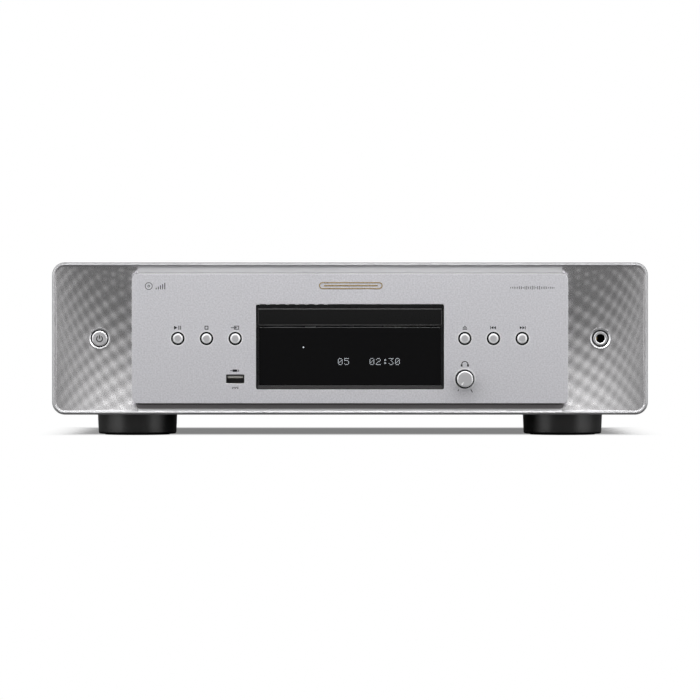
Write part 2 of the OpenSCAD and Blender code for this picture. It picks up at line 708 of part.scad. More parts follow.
module loader_frame() {
    rail_z = tray_z0 - 0.3;
    color("dimgray") difference() {
        union() {
            for (s = [-1, 1]) {
                slab(min(s * 68, s * loader_x), max(s * 68, s * loader_x), loader_y0, loader_y1,
                     loader_z0, tray_top + 2);
                slab(min(s * 63.6, s * 68.5), max(s * 63.6, s * 68.5), loader_y0, loader_y1,
                     rail_z - 2, rail_z);
                for (y = [loader_y0, loader_y0 + 60, loader_y0 + 120])
                    slab(min(s * 64, s * 68.5), max(s * 64, s * 68.5), y, y + 10, tray_top + 0.4, tray_top + 2);
                slab(min(s * 60, s * 68.5), max(s * 60, s * 68.5), hinge_y - 6, hinge_y + 6,
                     hinge_z - 6, gear_plate_z + 1);
            }
            slab(-68.5, 68.5, loader_y0, loader_y0 + 22, gear_plate_z - 2, gear_plate_z);
            slab(-68.5, 68.5, loader_y1 - 8, loader_y1, loader_z0, rail_z - 4);
            slab(-68.5, 68.5, loader_y0, loader_y0 + 2, loader_z0, gear_plate_z - 1);
            rod_z(wheel_x, gear_y, 2, gear_plate_z - 1, gear_z + gear_h);
            rod_z(pulley_x, gear_y, 2, gear_plate_z - 1, gear_z + gear_h);
        }
        rod_z(motor_x, gear_y, 1.6, gear_plate_z - 3, gear_plate_z + 1);
        for (s = [-1, 1]) rod_x(hinge_y, hinge_z, 2.05, s * 64 - 5, s * 64 + 5);
        for (s = [-1, 1], y = [-120, 0]) rod_x(y, loader_z0 + 6, 1.5, s * 70 - 4, s * 70 + 4);
    }
}

module loader_brackets() {
    color("silver") both_sides() difference() {
        union() {
            slab(loader_x + 0.2, loader_x + 1.7, loader_y0 + 6, loader_y1 - 8, pan_top, loader_z0 + 14);
            slab(loader_x + 0.2, loader_x + 18, loader_y0 + 6, loader_y1 - 8, pan_top, pan_top + 1.5);
        }
        for (y = [-120, 0]) {
            rod_z(82, y, 1.5, pan_top - 1, pan_top + 3);
            rod_x(y, loader_z0 + 6, 1.7, loader_x - 1, loader_x + 3);
        }
        slab(loader_x - 1, loader_x + 3, -100, -20, pan_top + 12, loader_z0 - 6);
    }
}

module clamp_bridge() {
    bridge_z = puck_z + 3.2;
    color("gray") difference() {
        union() {
            slab(-loader_x, loader_x, disc_y - 20, disc_y + 20, bridge_z, bridge_z + 2);
            for (s = [-1, 1]) slab(min(s * 68, s * loader_x), max(s * 68, s * loader_x),
                disc_y - 20, disc_y + 20, tray_top + 2.05, bridge_z + 0.5);
        }
        rod_z(0, disc_y, 11.5, bridge_z - 1, bridge_z + 3);
    }
}

module clamp_puck() {
    color("black") translate([0, disc_y, 0]) {
        rod_z(0, 0, 13, puck_z, puck_z + 2.2);
        rod_z(0, 0, 10.8, puck_z + 2, puck_z + 7);
        rod_z(0, 0, 14.5, puck_z + 6.8, puck_z + 8.6);
    }
}

module tray() {
    rack_teeth = 57;
    rack_y0 = gear_y - 8 * PI * gear_m;
    color("dimgray") {
        difference() {
            slab(-tray_x, tray_x, tray_y0, tray_y1, tray_z0, tray_top);
            rod_z(0, disc_y, well_d / 2, tray_floor, tray_top + 1);
            rod_z(0, disc_y, 41, tray_floor - 1.2, tray_top + 1);
            slab(-slot_half, slot_half, disc_y, tray_y1 + 1, tray_z0 - 1, tray_top + 1);
            rod_z(0, disc_y, slot_half + 1, tray_z0 - 1, tray_top + 1);
            for (s = [-1, 1]) {
                rod_z(s * 55, disc_y - 58, 14, tray_floor - 1.2, tray_top + 1);
                slab(min(s * 22, s * 60), max(s * 22, s * 60), disc_y + 66, tray_y1 - 6,
                     tray_floor, tray_top + 1);
            }
        }
        for (s = [-1, 1]) slab(min(s * tray_x, s * 67.5), max(s * tray_x, s * 67.5),
            tray_y0 + 8, tray_y1, tray_z0, tray_z0 + 2.5);
        translate([0, 0, rack_z0]) linear_extrude(tray_z0 - rack_z0 + 0.2)
            polygon(rack_outline(gear_m, rack_x, rack_y0, rack_teeth, -1, 3));
    }
}

module tray_door() {
    color([0.07, 0.07, 0.07]) slab(-door_w / 2, door_w / 2, door_y, door_y + door_t, door_z0, door_z1);
}

module drive_gear() {
    color("ivory") translate([wheel_x, gear_y, gear_z]) difference() {
        linear_extrude(gear_h) polygon(gear_outline(gear_m, wheel_teeth));
        translate([0, 0, -1]) cylinder(r = 2.05, h = gear_h + 2);
        for (a = [45:90:315]) rotate(a) translate([5.4, 0, -1]) cylinder(r = 1.4, h = gear_h + 2);
    }
}

// A grooved belt pulley with its rim from z = 0 to z = 2.4
module grooved_wheel(r, depth) {
    rotate_extrude() polygon([[0, 0], [r, 0], [r, 0.5], [r - depth, 0.7], [r - depth, 1.7], [r, 1.9],
                              [r, 2.4], [0, 2.4]]);
}

module pulley_gear() {
    color("ivory") translate([pulley_x, gear_y, pulley_z]) difference() {
        union() {
            grooved_wheel(pulley_r, 1.2);
            translate([0, 0, 2.3]) cylinder(r = 5.4, h = 0.6);
            translate([0, 0, gear_z - pulley_z]) rotate(180 / pinion_teeth)
                linear_extrude(gear_h) polygon(gear_outline(gear_m, pinion_teeth));
        }
        translate([0, 0, -1]) cylinder(r = 2.05, h = 12);
    }
}

module drive_belt() {
    module loop(grow) hull() {
        translate([pulley_x, gear_y]) circle(r = pulley_r - 1.1 + grow);
        translate([motor_x, gear_y]) circle(r = motor_pulley_r - 0.8 + grow);
    }
    color("black") translate([0, 0, pulley_z + 0.8]) linear_extrude(0.8) difference() {
        loop(1);
        loop(0);
    }
}

module motor_pulley() {
    color("ivory") translate([motor_x, gear_y, pulley_z]) grooved_wheel(motor_pulley_r, 0.9);
    color("silver") rod_z(motor_x, gear_y, 1, loader_z0 + 8, pulley_z + 0.5);
}

module loading_motor() {
    color("silver") difference() {
        rod_z(motor_x, gear_y, 8.5, loader_z0 + 1, gear_plate_z - 2.05);
        rod_z(motor_x, gear_y, 1.05, loader_z0 + 7, gear_plate_z);
    }
}

module traverse_deck() {
    front = disc_y - 16;
    color("silver") difference() {
        union() {
            slab(-46, 54, front, hinge_y + 4, deck_z, deck_z + deck_t);
            for (s = [-1, 1]) {
                slab(s * 51 - 5, s * 51 + 5, hinge_y - 3, hinge_y + 3, hinge_z - 3, deck_z + 0.5);
                rod_x(hinge_y, hinge_z, 2, s * 57 - 9.5, s * 57 + 9.5);
                slab(s * rod_x - 4, s * rod_x + 4, disc_y - 6, disc_y - 3, deck_z + 1, rod_z + 3);
                slab(s * rod_x - 4, s * rod_x + 4, disc_y + 80, disc_y + 83, deck_z + 1, rod_z + 3);
            }
        }
        rod_z(0, disc_y, 5, deck_z - 1, deck_z + 3);
        rod_z(sled_gear_x, sled_gear_y, 2, deck_z - 1, deck_z + 3);
        slab(-18, 18, disc_y + 14, disc_y + 70, deck_z - 1, deck_z + 3);
    }
    color("white") for (s = [-1, 1]) rod_y(s * rod_x, rod_z, rod_r, disc_y - 5, disc_y + 82);
}

module spindle_motor() {
    color("gray") difference() {
        union() {
            rod_z(0, disc_y, 12, deck_z - 8, deck_z - 0.05);
            rod_z(0, disc_y, 4.6, deck_z - 1, deck_z + 3.5);
        }
        rod_z(0, disc_y, 1.05, deck_z - 6, deck_z + 5);
    }
}

module turntable() {
    color("dimgray") translate([0, disc_y, 0]) {
        translate([0, 0, turntable_z - 2.8]) rotate_extrude() polygon([
            [0, -4], [3, -4], [3, 0], [14.5, 0], [14.5, 2.8], [7.4, 2.8], [7.4, 3.8], [5.6, 5], [0, 5]]);
        rod_z(0, 0, 1, deck_z - 5, turntable_z - 5);
    }
}

module pickup_sled() {
    sled_y0 = lens_y - 14;
    sled_y1 = lens_y + 16;
    sled_z0 = rod_z - 2.4;
    sled_z1 = rod_z + 3.4;
    rack_z = rod_z - 1.4;
    pitch = PI * sled_m;
    color("dimgray") difference() {
        union() {
            slab(-33, 35, sled_y0, sled_y1, sled_z0, sled_z1);
            translate([0, 0, rack_z]) linear_extrude(sled_z1 - rack_z)
                polygon(rack_outline(sled_m, sled_rack_x, sled_gear_y - 24 * pitch, 27, 1, 3.4));
            rod_z(0, lens_y, 7, sled_z1 - 1, turntable_z - 2.6);
        }
        rod_y(-rod_x, rod_z, rod_r + 0.05, sled_y0 - 1, sled_y1 + 1);
        slab(rod_x - rod_r - 0.1, rod_x + rod_r + 0.1, sled_y0 - 1, sled_y1 + 1,
             sled_z0 - 1, rod_z + rod_r + 0.05);
        slab(-24, -8, sled_y0 + 4, sled_y1 - 4, sled_z0 - 1, sled_z1 - 2);
        rod_z(0, lens_y, 2.6, sled_z1 - 2, turntable_z);
    }
    color("lightblue") rod_z(0, lens_y, 2.5, sled_z1 - 1.9, turntable_z - 2);
}

module sled_motor() {
    color("silver") difference() {
        rod_z(sled_gear_x, sled_gear_y, 6, deck_z - 9, deck_z - 0.05);
        rod_z(sled_gear_x, sled_gear_y, 0.85, deck_z - 7, deck_z + 1);
    }
}

module sled_pinion() {
    color("ivory") translate([sled_gear_x, sled_gear_y, rod_z - 1.2])
        linear_extrude(2.8) polygon(gear_outline(sled_m, sled_teeth, 4));
    color("silver") rod_z(sled_gear_x, sled_gear_y, 0.8, deck_z - 6, rod_z - 1.1);
}

// ---------- the assembly ----------

bottom_pan();
rear_panel();
top_cover();
front_subpanel();
front_frame();
wing_panels();
centre_plate();
window_bezel();
display_lens();
display_module();
front_board();
button_switches();
power_ring();
jack_ring();
phones_jack();
power_switch();
usb_shell();
usb_tongue();
level_pot();
level_shaft();
level_knob();
feet();
foot_pads();
foot_screws();
machine_screws();
main_board();
supply_board();
transformer();
transformer_bolt();
supply_capacitors();
ac_inlet();
inlet_pins();
rca_block();
rca_shells();
optical_socket();
optical_shutter();
loader_frame();
loader_brackets();
clamp_bridge();
clamp_puck();
tray();
tray_door();
drive_gear();
pulley_gear();
drive_belt();
motor_pulley();
loading_motor();
traverse_deck();
spindle_motor();
turntable();
pickup_sled();
sled_motor();
sled_pinion();
power_button();
for (b = BUTTONS)
    push_button(button_r, 1.2, button_x(b[1]), plate_y - 0.6, flange_y, stem_end);
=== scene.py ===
"""Full-width disc player: the looks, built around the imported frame. Everything is in metres."""

import json
import math

import bmesh
import bpy
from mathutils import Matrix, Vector

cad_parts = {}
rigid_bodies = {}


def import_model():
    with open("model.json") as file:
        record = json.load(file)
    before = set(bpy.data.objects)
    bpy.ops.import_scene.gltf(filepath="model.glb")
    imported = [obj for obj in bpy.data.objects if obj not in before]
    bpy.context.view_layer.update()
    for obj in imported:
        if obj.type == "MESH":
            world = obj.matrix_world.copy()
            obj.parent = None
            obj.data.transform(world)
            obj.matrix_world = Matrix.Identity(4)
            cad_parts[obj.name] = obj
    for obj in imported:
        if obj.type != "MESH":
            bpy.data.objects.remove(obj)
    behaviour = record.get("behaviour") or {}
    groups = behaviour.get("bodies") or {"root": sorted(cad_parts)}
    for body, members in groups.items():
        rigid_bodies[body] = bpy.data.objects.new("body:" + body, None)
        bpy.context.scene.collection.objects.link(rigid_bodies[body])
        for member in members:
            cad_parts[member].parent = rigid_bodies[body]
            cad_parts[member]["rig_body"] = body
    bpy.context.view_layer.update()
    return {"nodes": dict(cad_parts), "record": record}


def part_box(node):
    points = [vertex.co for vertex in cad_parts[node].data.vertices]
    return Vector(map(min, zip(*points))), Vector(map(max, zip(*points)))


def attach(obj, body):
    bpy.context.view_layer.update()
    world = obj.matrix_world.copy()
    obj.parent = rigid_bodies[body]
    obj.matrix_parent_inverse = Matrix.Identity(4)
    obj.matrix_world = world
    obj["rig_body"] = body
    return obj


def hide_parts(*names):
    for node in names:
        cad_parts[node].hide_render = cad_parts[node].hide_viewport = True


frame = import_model()
NODES = frame["nodes"]
RECORD = frame["record"]
MM = 0.001

# how the object is seen: the camera's distance from the plate, its height, its aim and its lens
CAMERA_DISTANCE = 3.0
CAMERA_Z = 0.080
AIM_Z = 0.0640
LENS_MM = 208.4


# ---------- places, read from the frame ----------

def centre(node):
    low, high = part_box(node)
    return (low + high) / 2


PLATE_LOW, PLATE_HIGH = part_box("centre_plate")
PLATE_Y = PLATE_LOW.y
MID_Z = (PLATE_LOW.z + PLATE_HIGH.z) / 2
WING_LOW, WING_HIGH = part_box("wing_panels")
FRAME_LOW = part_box("front_frame")[0]
LENS_LOW, LENS_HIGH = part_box("display_lens")
KNOB = centre("level_knob")
KNOB_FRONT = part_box("level_knob")[0].y
USB = centre("usb_shell")
POWER = centre("power_button")
POWER_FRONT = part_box("power_button")[0].y
BUTTONS = ("play", "stop", "input", "eject", "previous", "next")


# ---------- shader node helpers ----------

def remapped(tree, source, from_range, to_range=(0, 1), smooth=False):
    """Maps one range onto another, and stops at both ends."""
    node = tree.nodes.new("ShaderNodeMapRange")
    node.interpolation_type = "SMOOTHSTEP" if smooth else "LINEAR"
    for name, value in zip(("From Min", "From Max", "To Min", "To Max"), (*from_range, *to_range)):
        node.inputs[name].default_value = value
    tree.links.new(source, node.inputs["Value"])
    return node.outputs[0]


def worked_out(tree, operation, *values):
    """A Math node on sockets and plain numbers."""
    node = tree.nodes.new("ShaderNodeMath")
    node.operation = operation
    for place, value in enumerate(values):
        if isinstance(value, (int, float)):
            node.inputs[place].default_value = value
        else:
            tree.links.new(value, node.inputs[place])
    return node.outputs[0]


def mixed(tree, share, first, second):
    """first where share is 0, and second where it is 1."""
    node = tree.nodes.new("ShaderNodeMixShader")
    for place, socket in enumerate((share, first, second)):
        tree.links.new(socket, node.inputs[place])
    return node.outputs[0]


def matt(tree, value):
    node = tree.nodes.new("ShaderNodeBsdfDiffuse")
    node.inputs["Color"].default_value = (value, value, value, 1)
    return node.outputs[0]


def split_xyz(tree, source):
    node = tree.nodes.new("ShaderNodeSeparateXYZ")
    tree.links.new(source, node.inputs[0])
    return node.outputs["X"], node.outputs["Y"], node.outputs["Z"]


# ---------- camera, light and floor ----------

def aim(obj, target):
    obj.rotation_euler = (Vector(target) - obj.location).to_track_quat("-Z", "Y").to_euler()


def area_light(name, place, target, size, power):
    data = bpy.data.lights.new(name, "AREA")
    data.shape = "RECTANGLE"
    data.size, data.size_y = size
    data.energy = power
    light = bpy.data.objects.new(name, data)
    light.location = place
    aim(light, target)
    bpy.context.scene.collection.objects.link(light)


def make_camera():
    data = bpy.data.cameras.new("camera")
    data.sensor_width = 36
    data.lens = LENS_MM
    camera = bpy.data.objects.new("camera", data)
    bpy.context.scene.collection.objects.link(camera)
    camera.location = (0, PLATE_Y - CAMERA_DISTANCE, CAMERA_Z)
    aim(camera, (0, PLATE_Y, AIM_Z))
    bpy.context.scene.camera = camera


def make_world():
    """Plain white to the camera, and a studio to everything else."""
    world = bpy.data.worlds.new("studio")
    bpy.context.scene.world = world
    world.use_nodes = True
    tree = world.node_tree
    tree.nodes.clear()
    out = tree.nodes.new("ShaderNodeOutputWorld")
    seen = tree.nodes.new("ShaderNodeBackground")
    seen.inputs["Color"].default_value = (1, 1, 1, 1)
    lit = tree.nodes.new("ShaderNodeBackground")
    x, y, z = split_xyz(tree, tree.nodes.new("ShaderNodeTexCoord").outputs["Generated"])
    # up and down: bright overhead, dim below the horizon, and bright again straight down, like a table
    ramp = tree.nodes.new("ShaderNodeValToRGB")
    stops = [(0.0, 0.80), (0.11, 0.60), (0.20, 0.10), (0.30, 0.115), (0.40, 0.16), (0.50, 0.26),
             (0.60, 0.46), (0.72, 0.72), (0.9, 0.55)]
    ramp.color_ramp.elements[0].position, first = stops[0]
    ramp.color_ramp.elements[0].color = (first, first, first, 1)
    ramp.color_ramp.elements[1].position, last = stops[-1]
    ramp.color_ramp.elements[1].color = (last, last, last, 1)
    for place, value in stops[1:-1]:
        ramp.color_ramp.elements.new(place).color = (value, value, value, 1)
    tree.links.new(remapped(tree, z, (-1, 1)), ramp.inputs[0])
    # left and right: two white screens, a little in front of the object's sides
    ahead = remapped(tree, y, (-1, 1), (1.6, 0.4))
    sideways = worked_out(tree, "MULTIPLY", worked_out(tree, "ABSOLUTE", x), ahead)
    walls = remapped(tree, sideways, (0.85, 1.08), (0, 1.3), smooth=True)
    total = tree.nodes.new("ShaderNodeVectorMath")
    total.operation = "ADD"
    tree.links.new(ramp.outputs[0], total.inputs[0])
    tree.links.new(walls, total.inputs[1])
    tree.links.new(total.outputs[0], lit.inputs["Color"])
    to_camera = tree.nodes.new("ShaderNodeLightPath").outputs["Is Camera Ray"]
    tree.links.new(mixed(tree, to_camera, lit.outputs[0], seen.outputs[0]), out.inputs[0])


def make_floor():
    """A pale floor that takes the shadow near the object and runs out to plain white further off."""
    mesh = bpy.data.meshes.new("floor")
    r = 30
    mesh.from_pydata([(-r, -r, 0), (r, -r, 0), (r, r, 0), (-r, r, 0)], [], [(0, 1, 2, 3)])
    floor = bpy.data.objects.new("floor", mesh)
    bpy.context.scene.collection.objects.link(floor)
    floor.location.z = -0.0002
    material = bpy.data.materials.new("floor")
    material.use_nodes = True
    tree = material.node_tree
    tree.nodes.clear()
    out = tree.nodes.new("ShaderNodeOutputMaterial")
    path = tree.nodes.new("ShaderNodeLightPath").outputs
    x, y, _ = split_xyz(tree, tree.nodes.new("ShaderNodeNewGeometry").outputs["Position"])
    # in a reflection, only the dark floor below the object counts, and the world stands for the rest
    beneath = remapped(tree, y, (PLATE_Y - 0.03, PLATE_Y - 0.015))
    open_floor = worked_out(tree, "SUBTRACT", 1, beneath)
    let_through = worked_out(tree, "MULTIPLY", open_floor, path["Is Glossy Ray"])
    clear = tree.nodes.new("ShaderNodeBsdfTransparent").outputs[0]
    mirrored = mixed(tree, let_through, matt(tree, 0.10), clear)
    # the shadow is kept to the middle of the floor below the object
    outside = remapped(tree, worked_out(tree, "ABSOLUTE", x), (0.194, 0.240), smooth=True)
    for source, limits in ((y, (0.065, 0.125)), (worked_out(tree, "MULTIPLY", y, -1), (0.085, 0.15))):
        outside = worked_out(tree, "MAXIMUM", outside, remapped(tree, source, limits, smooth=True))
    white = tree.nodes.new("ShaderNodeEmission").outputs[0]
    seen = mixed(tree, remapped(tree, outside, (0, 1), (0.21, 1)), matt(tree, 0.86), white)
    tree.links.new(mixed(tree, path["Is Camera Ray"], mirrored, seen), out.inputs[0])
    mesh.materials.append(material)


def make_lights():
    front = (0, PLATE_Y, 0.07)
    area_light("key", (0, -0.60, 0.66), front, (1.7, 0.16), 7.5)
    area_light("left_fill", (-1.7, -1.3, 0.55), front, (0.9, 0.9), 3)
    area_light("right_fill", (1.7, -1.3, 0.55), front, (0.9, 0.9), 3)
    area_light("top", (0, 0.1, 1.6), (0, 0, 0), (1.6, 1.2), 3)
    area_light("rear", (0, 1.8, 0.9), (0, 0, 0.06), (1.8, 0.8), 5)


# ---------- materials ----------

def ramped(tree, source, low, high):
    """Maps a texture's middle range onto low to high."""
    return remapped(tree, source, (0.25, 0.75), (low, high))


def noise(tree, coords, scale, stretch=(1, 1, 1), detail=3):
    mapping = tree.nodes.new("ShaderNodeMapping")
    mapping.inputs["Scale"].default_value = stretch
    tree.links.new(coords, mapping.inputs["Vector"])
    node = tree.nodes.new("ShaderNodeTexNoise")
    node.inputs["Scale"].default_value = scale
    node.inputs["Detail"].default_value = detail
    tree.links.new(mapping.outputs[0], node.inputs["Vector"])
    return node.outputs["Fac"]


def surface(name, base, metallic=0.0, rough=0.5, grain=900, stretch=(1, 1, 1), tone=0.05, broad=0.04,
            rough_swing=0.05, bump=0.00001, coat=0.0, specular=0.5):
    """A procedural finish: fine grain in colour, roughness and bump, and a broad change of tone."""
    material = bpy.data.materials.new(name)
    material.use_nodes = True
    material.diffuse_color = (*base, 1)
    tree = material.node_tree
    shader = tree.nodes["Principled BSDF"]
    shader.inputs["Metallic"].default_value = metallic
    shader.inputs["Coat Weight"].default_value = coat
    shader.inputs["Specular IOR Level"].default_value = specular
    coords = tree.nodes.new("ShaderNodeTexCoord").outputs["Object"]
    fine = noise(tree, coords, grain, stretch)
    wide = noise(tree, coords, 14)
    tint = tree.nodes.new("ShaderNodeMix")
    tint.data_type = "RGBA"
    dark = [c * (1 - tone - broad) for c in base]
    light = [min(1, c * (1 + tone + broad)) for c in base]
    tint.inputs["A"].default_value = (*dark, 1)
    tint.inputs["B"].default_value = (*light, 1)
    share = tree.nodes.new("ShaderNodeMath")
    share.operation = "ADD"
    share_fine = tone / (tone + broad + 1e-6)
    tree.links.new(ramped(tree, fine, 0, share_fine), share.inputs[0])
    tree.links.new(ramped(tree, wide, 0, 1 - share_fine), share.inputs[1])
    tree.links.new(share.outputs[0], tint.inputs["Factor"])
    tree.links.new(tint.outputs["Result"], shader.inputs["Base Color"])
    tree.links.new(ramped(tree, fine, rough - rough_swing, rough + rough_swing), shader.inputs["Roughness"])
    node = tree.nodes.new("ShaderNodeBump")
    node.inputs["Strength"].default_value = 1.0
    node.inputs["Distance"].default_value = bump
    tree.links.new(fine, node.inputs["Height"])
    tree.links.new(node.outputs[0], shader.inputs["Normal"])
    return material


def painted_shade_above(material, share):
    """Paints shade into the finish on what faces up, which tones down the lit top of the rim."""
    tree = material.node_tree
    shader = tree.nodes["Principled BSDF"]
    source = shader.inputs["Base Color"].links[0].from_socket
    _, _, up = split_xyz(tree, tree.nodes.new("ShaderNodeTexCoord").outputs["Normal"])
    scale = tree.nodes.new("ShaderNodeVectorMath")
    scale.operation = "SCALE"
    tree.links.new(source, scale.inputs[0])
    tree.links.new(remapped(tree, up, (0.05, 0.55), (1, share)), scale.inputs["Scale"])
    tree.links.new(scale.outputs[0], shader.inputs["Base Color"])


def glowing(name, colour, strength):
    """A lit display segment, a little uneven from dot to dot."""
    material = surface(name, (0.02, 0.02, 0.02), rough=0.4, grain=300, tone=0.08)
    shader = material.node_tree.nodes["Principled BSDF"]
    shader.inputs["Emission Color"].default_value = (*colour, 1)
    shader.inputs["Emission Strength"].default_value = strength
    return material


FINISH = {
    "case_paint": dict(base=(0.30, 0.305, 0.315), metallic=0.35, rough=0.52, grain=2600, tone=0.05,
                       bump=2e-5),
    "zinc_sheet": dict(base=(0.58, 0.59, 0.60), metallic=0.9, rough=0.42, grain=160, tone=0.10),
    "rear_paint": dict(base=(0.035, 0.035, 0.038), rough=0.55, grain=2600, tone=0.15, bump=3e-5),
    "frame_silver": dict(base=(0.51, 0.51, 0.52), metallic=0.75, rough=0.60, grain=2400, tone=0.03,
                         bump=6e-6),
    "wing_silver": dict(base=(0.735, 0.725, 0.735), metallic=0.95, rough=0.28, grain=2400, tone=0.03,
                        bump=5e-6),
    "plate_silver": dict(base=(0.76, 0.755, 0.79), metallic=0.8, rough=0.48, grain=850, tone=0.13,
                         broad=0.01, bump=2e-5),
    # bright metal for the jack's nut, and a painted highlight on the plate's front edges
    "bright_metal_and_highlight": dict(base=(0.84, 0.84, 0.85), metallic=1.0, rough=0.34, grain=1600, tone=0.03, bump=2e-6),
    # a painted highlight on the caps' front edges and round the plate's holes
    "white_edge_highlight": dict(base=(0.84, 0.84, 0.85), rough=0.6, specular=0.3, grain=1600, tone=0.03, bump=2e-6),
    "rim_shade": dict(base=(0.36, 0.355, 0.36), metallic=0.8, rough=0.5, grain=1600, tone=0.03, bump=2e-6),
    "rim_light": dict(base=(0.60, 0.60, 0.61), metallic=0.5, rough=0.5, grain=1600, tone=0.03, bump=2e-6),
    # a paler copy of the frame's silver: a painted highlight on the cove
    "cove_highlight_silver": dict(base=(0.78, 0.78, 0.79), metallic=0.5, rough=0.50, grain=1600, tone=0.03, bump=2e-6),
    # painted shadow for the strip below the plate
    "plate_shadow_grey": dict(base=(0.235, 0.222, 0.227), metallic=0.6, rough=0.5, grain=1600, tone=0.04,
                        bump=3e-6),
    # painted highlight for the door's upper edges
    "door_edge_highlight": dict(base=(0.75, 0.75, 0.76), metallic=0.9, rough=0.35, grain=900, tone=0.1, bump=1e-6),
    "knob_silver": dict(base=(0.74, 0.735, 0.75), metallic=0.85, rough=0.40, grain=1800, tone=0.05,
                        bump=6e-6),
    "ring_silver": dict(base=(0.60, 0.60, 0.61), metallic=1.0, rough=0.30, grain=1600, tone=0.04, bump=2e-6),
    "window_black": dict(base=(0.004, 0.004, 0.0045), rough=0.30, grain=500, tone=0.2, bump=1e-6,
                         specular=0.3),
    "lens_smoke": dict(base=(0.0015, 0.0015, 0.0018), rough=0.10, grain=300, tone=0.2, rough_swing=0.02,
                       bump=5e-7, specular=0.22),
    "door_black": dict(base=(0.0035, 0.0035, 0.0037), rough=0.30, grain=1800, tone=0.2, bump=3e-6,
                       specular=0.3),
    # painted highlight for the front edges of the black bezel and lens
    "black_edge_highlight": dict(base=(0.045, 0.045, 0.046), rough=0.32, grain=900, tone=0.15, bump=1e-6, specular=0.7),
    # a fainter painted highlight for the door's other edges
    "door_side_highlight": dict(base=(0.11, 0.11, 0.11), rough=0.35, grain=900, tone=0.1, bump=1e-6),
    "sill_grey": dict(base=(0.006, 0.006, 0.0062), rough=0.5, grain=900, tone=0.1, bump=1e-6),
    # black for the jack's sleeve and end, and black put in gaps and holes as painted shade
    "shade_and_sleeve_black": dict(base=(0.003, 0.003, 0.003), rough=0.6, grain=1500, tone=0.2, bump=4e-6, specular=0.2),
    "usb_steel": dict(base=(0.10, 0.10, 0.10), metallic=0.9, rough=0.35, grain=900, tone=0.1, bump=2e-6),
    "usb_insert": dict(base=(0.26, 0.255, 0.235), rough=0.5, grain=900, tone=0.06, bump=3e-6),
    "display_glass": dict(base=(0.01, 0.03, 0.03), rough=0.15, grain=400, tone=0.2, bump=1e-6),
    "board_green": dict(base=(0.02, 0.11, 0.04), rough=0.35, grain=420, tone=0.25, bump=2e-5, coat=0.3),
    "black_plastic": dict(base=(0.018, 0.018, 0.019), rough=0.48, grain=1900, tone=0.15, bump=1.2e-5),
    "grey_plastic": dict(base=(0.075, 0.075, 0.08), rough=0.45, grain=1700, tone=0.12, bump=1e-5),
    "gear_white": dict(base=(0.62, 0.60, 0.52), rough=0.38, grain=700, tone=0.05, bump=4e-6),
    "belt_rubber": dict(base=(0.014, 0.014, 0.014), rough=0.7, grain=1600, tone=0.2, bump=1e-5),
    "foot_black": dict(base=(0.006, 0.006, 0.0065), rough=0.33, grain=1600, tone=0.15, bump=5e-6,
                       specular=1.0),
    "pad_felt": dict(base=(0.03, 0.03, 0.03), rough=0.92, grain=2200, tone=0.3, bump=8e-5),
    "screw_steel": dict(base=(0.20, 0.20, 0.21), metallic=0.9, rough=0.34, grain=900, tone=0.1, bump=4e-6),
    "motor_steel": dict(base=(0.55, 0.55, 0.56), metallic=1.0, rough=0.30, grain=500, stretch=(1, 1, 0.05),
                        tone=0.08, bump=3e-6),
    "copper_winding": dict(base=(0.50, 0.27, 0.06), rough=0.4, grain=500, stretch=(1, 1, 0.1), tone=0.3,
                           bump=1e-4, coat=0.4),
    "capacitor_sleeve": dict(base=(0.02, 0.03, 0.09), rough=0.3, grain=600, tone=0.15, bump=3e-6, coat=0.3),
    "socket_gold": dict(base=(0.83, 0.60, 0.25), metallic=1.0, rough=0.22, grain=900, tone=0.05, bump=2e-6),
    "socket_insert": dict(base=(0.62, 0.62, 0.60), rough=0.4, grain=900, tone=0.05, bump=3e-6),
}
MATERIAL = {slot: surface(slot, **finish) for slot, finish in FINISH.items()}
# painted shade on the frame's upward faces, down to 0.68 of its colour
painted_shade_above(MATERIAL["frame_silver"], 0.68)
PRINT = surface("printed_grey", (0.012, 0.012, 0.014), rough=0.5, grain=1200, tone=0.1, specular=0.3)
POINTER = surface("pointer_white", (0.97, 0.97, 0.96), rough=0.35, grain=900, tone=0.02)
GOLD = surface("badge_gold", (0.62, 0.45, 0.20), metallic=0.9, rough=0.3, grain=1500, tone=0.05, bump=3e-6)
LIT = glowing("lit_dots", (0.84, 0.90, 0.96), 0.85)
SLOT_OF = {row["node"]: row["material_slot"] for row in RECORD["subparts"]}


def paint_nodes():
    """Gives every CAD node the procedural finish of its slot."""
    for name, obj in NODES.items():
        obj.data.materials.clear()
        obj.data.materials.append(MATERIAL[SLOT_OF[name]])


# ---------- mesh helpers ----------

def add_piece(name, mesh, material, body, smooth_angle=30):
    mesh.materials.clear()
    mesh.materials.append(material)
    for face in mesh.polygons:
        face.use_smooth = True
    mesh.set_sharp_from_angle(angle=math.radians(smooth_angle))
    obj = bpy.data.objects.new(name, mesh)
    bpy.context.scene.collection.objects.link(obj)
    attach(obj, body)
    return obj


def mesh_from(name, bm):
    bmesh.ops.recalc_face_normals(bm, faces=bm.faces)
    if bm.calc_volume(signed=True) < 0:
        bmesh.ops.reverse_faces(bm, faces=bm.faces)
    mesh = bpy.data.meshes.new(name)
    bm.to_mesh(mesh)
    bm.free()
    return mesh


